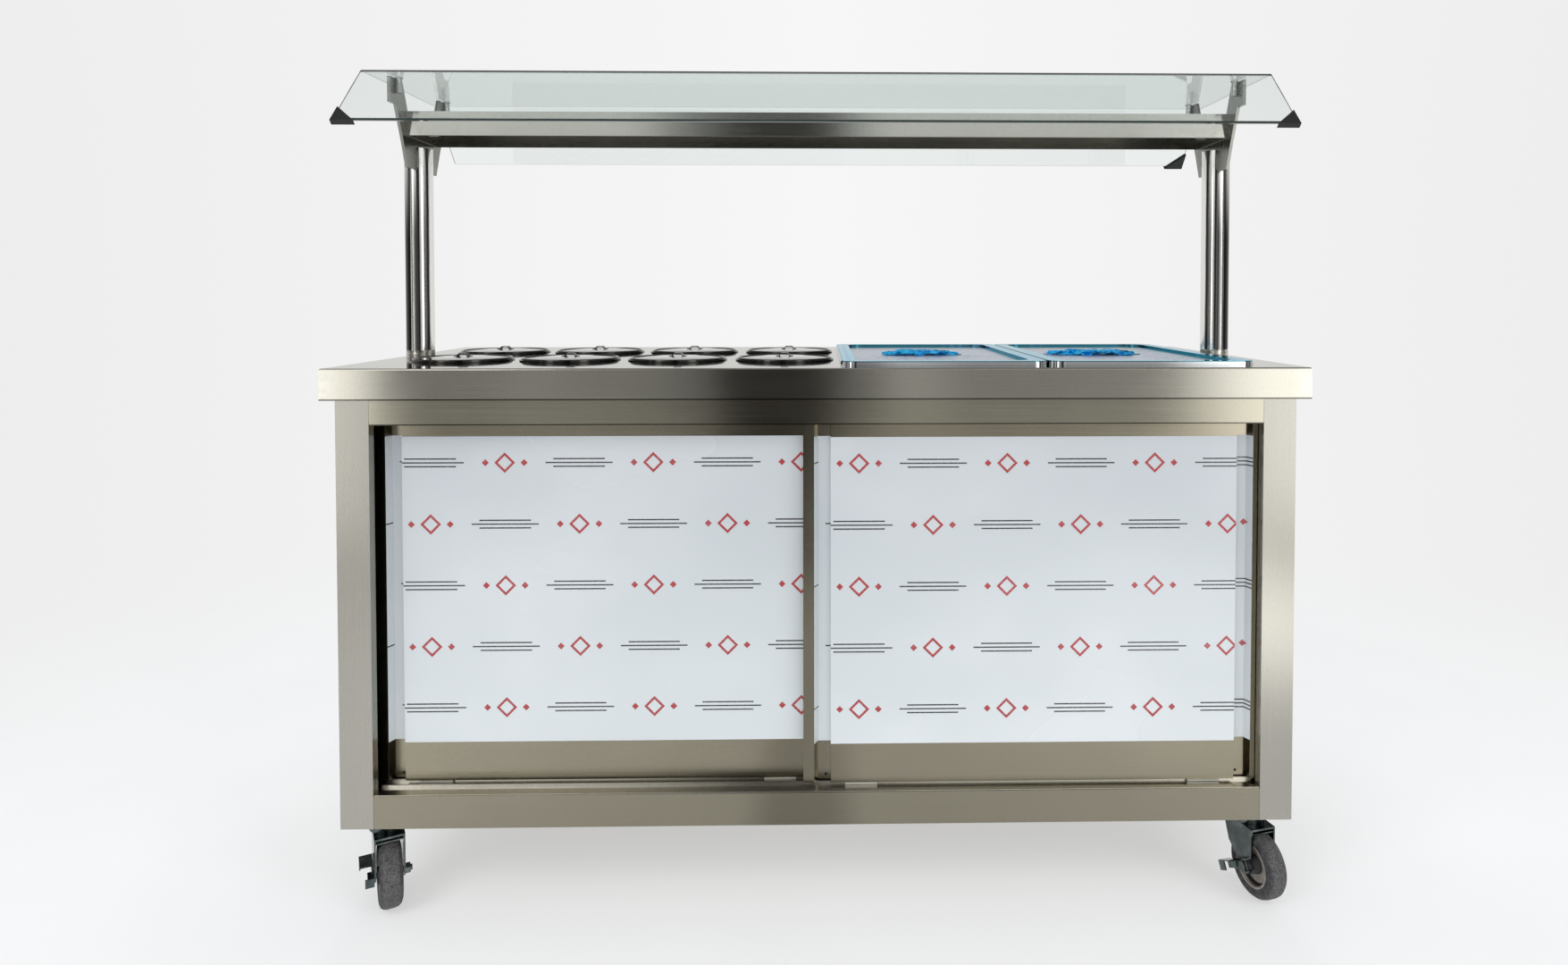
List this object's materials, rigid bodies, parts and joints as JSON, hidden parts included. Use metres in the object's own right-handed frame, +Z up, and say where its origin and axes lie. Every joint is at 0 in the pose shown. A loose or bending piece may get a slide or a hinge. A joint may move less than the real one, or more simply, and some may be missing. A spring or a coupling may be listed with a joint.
{
  "type": "sauce station",
  "caption": "Wheeled stainless steel sauce counter with round lidded pots, rectangular lidded pans, a cabinet with two sliding doors and a glass hood over an overshelf on two uprights.",
  "frame": {"origin": "on the floor below the middle of the counter, at the centre of the bottom of the bounding box", "axes": "+X to the right as seen from the side with the sliding doors, +Y to the back, +Z up"},
  "size_m": [1.5, 0.634, 1.314],
  "materials": {
    "polished_steel": "mirror polished stainless steel",
    "brushed_steel": "brushed stainless steel",
    "zinc": "bright zinc plated steel",
    "glass": "clear tempered glass with a green edge",
    "clear_pad": "clear soft plastic",
    "black_plastic": "matt black",
    "film": "pale protective film",
    "lid_film": "polished steel under pale blue protective film",
    "nylon": "white nylon",
    "tyre": "dark grey rubber on a grey hub"
  },
  "bodies": {
    "cart": {"countertop": "polished_steel", "corner_posts": "brushed_steel", "rail_top_front": "brushed_steel", "rail_base_front": "brushed_steel", "base_rails": "brushed_steel", "side_left": "brushed_steel", "side_right": "brushed_steel", "back_panel": "brushed_steel", "deck": "brushed_steel", "track_top": "brushed_steel", "track_strips": "brushed_steel", "track_bottom": "brushed_steel", "upright_left": "polished_steel", "upright_right": "polished_steel", "bracket_left": "brushed_steel", "bracket_right": "brushed_steel", "glass_studs": "zinc", "glass_pads": "clear_pad", "overshelf": "brushed_steel", "shelf_bolts": "zinc", "hood_glass": "glass", "corner_caps": "black_plastic", "caster_plates": "zinc", "plate_bolts": "zinc"},
    "door_left": {"door_left": "brushed_steel", "film_left": "film", "glides_left": "nylon"},
    "door_right": {"door_right": "brushed_steel", "film_right": "film", "glides_right": "nylon"},
    "pot_f1": {"pot_f1": "polished_steel"},
    "lid_f1": {"lid_f1": "polished_steel"},
    "pot_f2": {"pot_f2": "polished_steel"},
    "lid_f2": {"lid_f2": "polished_steel"},
    "pot_f3": {"pot_f3": "polished_steel"},
    "lid_f3": {"lid_f3": "polished_steel"},
    "pot_f4": {"pot_f4": "polished_steel"},
    "lid_f4": {"lid_f4": "polished_steel"},
    "pot_r1": {"pot_r1": "polished_steel"},
    "lid_r1": {"lid_r1": "polished_steel"},
    "pot_r2": {"pot_r2": "polished_steel"},
    "lid_r2": {"lid_r2": "polished_steel"},
    "pot_r3": {"pot_r3": "polished_steel"},
    "lid_r3": {"lid_r3": "polished_steel"},
    "pot_r4": {"pot_r4": "polished_steel"},
    "lid_r4": {"lid_r4": "polished_steel"},
    "pan_1": {"pan_1": "polished_steel"},
    "pan_lid_1": {"pan_lid_1": "lid_film"},
    "pan_2": {"pan_2": "polished_steel"},
    "pan_lid_2": {"pan_lid_2": "lid_film"},
    "fork_fl": {"fork_fl": "zinc"},
    "wheel_fl": {"wheel_fl": "tyre"},
    "brake_fl": {"brake_fl": "zinc"},
    "fork_fr": {"fork_fr": "zinc"},
    "wheel_fr": {"wheel_fr": "tyre"},
    "brake_fr": {"brake_fr": "zinc"},
    "fork_rl": {"fork_rl": "zinc"},
    "wheel_rl": {"wheel_rl": "tyre"},
    "fork_rr": {"fork_rr": "zinc"},
    "wheel_rr": {"wheel_rr": "tyre"}
  },
  "joints": [
    {"name": "door_left_slide", "type": "slide", "parent": "cart", "child": "door_left", "axis": [1, 0, 0], "range_m": [0, 0.664]},
    {"name": "door_right_slide", "type": "slide", "parent": "cart", "child": "door_right", "axis": [-1, 0, 0], "range_m": [0, 0.664]},
    {"name": "pot_f1_lift", "type": "slide", "parent": "cart", "child": "pot_f1", "axis": [0, 0, 1], "range_m": [0, 0.19]},
    {"name": "lid_f1_lift", "type": "slide", "parent": "pot_f1", "child": "lid_f1", "axis": [0, 0, 1], "range_m": [0, 0.08]},
    {"name": "pot_f2_lift", "type": "slide", "parent": "cart", "child": "pot_f2", "axis": [0, 0, 1], "range_m": [0, 0.19]},
    {"name": "lid_f2_lift", "type": "slide", "parent": "pot_f2", "child": "lid_f2", "axis": [0, 0, 1], "range_m": [0, 0.08]},
    {"name": "pot_f3_lift", "type": "slide", "parent": "cart", "child": "pot_f3", "axis": [0, 0, 1], "range_m": [0, 0.19]},
    {"name": "lid_f3_lift", "type": "slide", "parent": "pot_f3", "child": "lid_f3", "axis": [0, 0, 1], "range_m": [0, 0.08]},
    {"name": "pot_f4_lift", "type": "slide", "parent": "cart", "child": "pot_f4", "axis": [0, 0, 1], "range_m": [0, 0.19]},
    {"name": "lid_f4_lift", "type": "slide", "parent": "pot_f4", "child": "lid_f4", "axis": [0, 0, 1], "range_m": [0, 0.08]},
    {"name": "pot_r1_lift", "type": "slide", "parent": "cart", "child": "pot_r1", "axis": [0, 0, 1], "range_m": [0, 0.19]},
    {"name": "lid_r1_lift", "type": "slide", "parent": "pot_r1", "child": "lid_r1", "axis": [0, 0, 1], "range_m": [0, 0.08]},
    {"name": "pot_r2_lift", "type": "slide", "parent": "cart", "child": "pot_r2", "axis": [0, 0, 1], "range_m": [0, 0.19]},
    {"name": "lid_r2_lift", "type": "slide", "parent": "pot_r2", "child": "lid_r2", "axis": [0, 0, 1], "range_m": [0, 0.08]},
    {"name": "pot_r3_lift", "type": "slide", "parent": "cart", "child": "pot_r3", "axis": [0, 0, 1], "range_m": [0, 0.19]},
    {"name": "lid_r3_lift", "type": "slide", "parent": "pot_r3", "child": "lid_r3", "axis": [0, 0, 1], "range_m": [0, 0.08]},
    {"name": "pot_r4_lift", "type": "slide", "parent": "cart", "child": "pot_r4", "axis": [0, 0, 1], "range_m": [0, 0.19]},
    {"name": "lid_r4_lift", "type": "slide", "parent": "pot_r4", "child": "lid_r4", "axis": [0, 0, 1], "range_m": [0, 0.08]},
    {"name": "pan_1_lift", "type": "slide", "parent": "cart", "child": "pan_1", "axis": [0, 0, 1], "range_m": [0, 0.15]},
    {"name": "pan_lid_1_lift", "type": "slide", "parent": "pan_1", "child": "pan_lid_1", "axis": [0, 0, 1], "range_m": [0, 0.1]},
    {"name": "pan_2_lift", "type": "slide", "parent": "cart", "child": "pan_2", "axis": [0, 0, 1], "range_m": [0, 0.15]},
    {"name": "pan_lid_2_lift", "type": "slide", "parent": "pan_2", "child": "pan_lid_2", "axis": [0, 0, 1], "range_m": [0, 0.1]},
    {"name": "swivel_fl", "type": "hinge", "parent": "cart", "child": "fork_fl", "pos_m": [-0.683, -0.238, 0.1107], "axis": [0, 0, 1], "continuous": true},
    {"name": "roll_fl", "type": "hinge", "parent": "fork_fl", "child": "wheel_fl", "pos_m": [-0.66892, -0.26449, 0.05], "axis": [0.8829, 0.4695, 0], "continuous": true},
    {"name": "brake_fl_tip", "type": "hinge", "parent": "fork_fl", "child": "brake_fl", "pos_m": [-0.66892, -0.26449, 0.05], "axis": [0.8829, 0.4695, 0], "range_deg": [-36, 0]},
    {"name": "swivel_fr", "type": "hinge", "parent": "cart", "child": "fork_fr", "pos_m": [0.683, -0.238, 0.1107], "axis": [0, 0, 1], "continuous": true},
    {"name": "roll_fr", "type": "hinge", "parent": "fork_fr", "child": "wheel_fr", "pos_m": [0.69076, -0.26698, 0.05], "axis": [0.9659, 0.2588, 0], "continuous": true},
    {"name": "brake_fr_tip", "type": "hinge", "parent": "fork_fr", "child": "brake_fr", "pos_m": [0.69076, -0.26698, 0.05], "axis": [0.9659, 0.2588, 0], "range_deg": [0, 36]},
    {"name": "swivel_rl", "type": "hinge", "parent": "cart", "child": "fork_rl", "pos_m": [-0.683, 0.238, 0.1107], "axis": [0, 0, 1], "continuous": true},
    {"name": "roll_rl", "type": "hinge", "parent": "fork_rl", "child": "wheel_rl", "pos_m": [-0.69076, 0.26698, 0.05], "axis": [-0.9659, -0.2588, 0], "continuous": true},
    {"name": "swivel_rr", "type": "hinge", "parent": "cart", "child": "fork_rr", "pos_m": [0.683, 0.238, 0.1107], "axis": [0, 0, 1], "continuous": true},
    {"name": "roll_rr", "type": "hinge", "parent": "fork_rr", "child": "wheel_rr", "pos_m": [0.69708, 0.26449, 0.05], "axis": [-0.8829, 0.4695, 0], "continuous": true}
  ]
}
